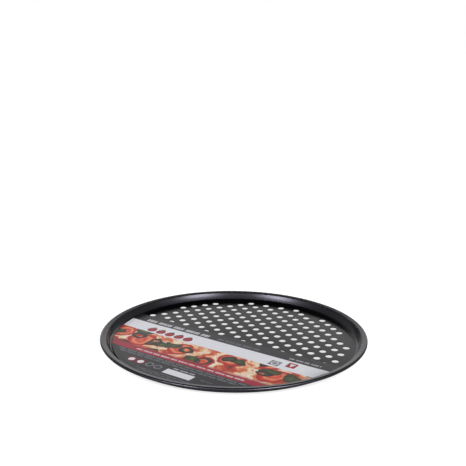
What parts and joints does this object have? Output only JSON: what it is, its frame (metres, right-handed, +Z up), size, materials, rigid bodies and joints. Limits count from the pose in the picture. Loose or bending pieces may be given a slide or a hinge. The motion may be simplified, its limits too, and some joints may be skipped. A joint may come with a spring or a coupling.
{
  "type": "pizza pan",
  "caption": "Round perforated pizza pan with a flared wall, a level brim and a rolled edge, and a half-disc printed card that lies in it and lifts off.",
  "frame": {"origin": "middle of the underside that the pan stands on", "axes": "+Z up; the rows of vents run along X and Y; the card's straight edge is turned 55.7 degrees from +X towards -Y"},
  "size_m": [0.331, 0.331, 0.011],
  "materials": {
    "nonstick_steel": "satin non-stick coating, dark grey",
    "printed_board": "coated board, printed on its upper face",
    "tacky_gum": "clear tacky gum"
  },
  "bodies": {
    "pan": {"pan": "nonstick_steel"},
    "card": {"card": "printed_board", "glue_dots": "tacky_gum"}
  },
  "joints": [
    {"name": "card_lift", "type": "slide", "parent": "pan", "child": "card", "axis": [0, 0, 1], "range_m": [0, 0.06]}
  ]
}
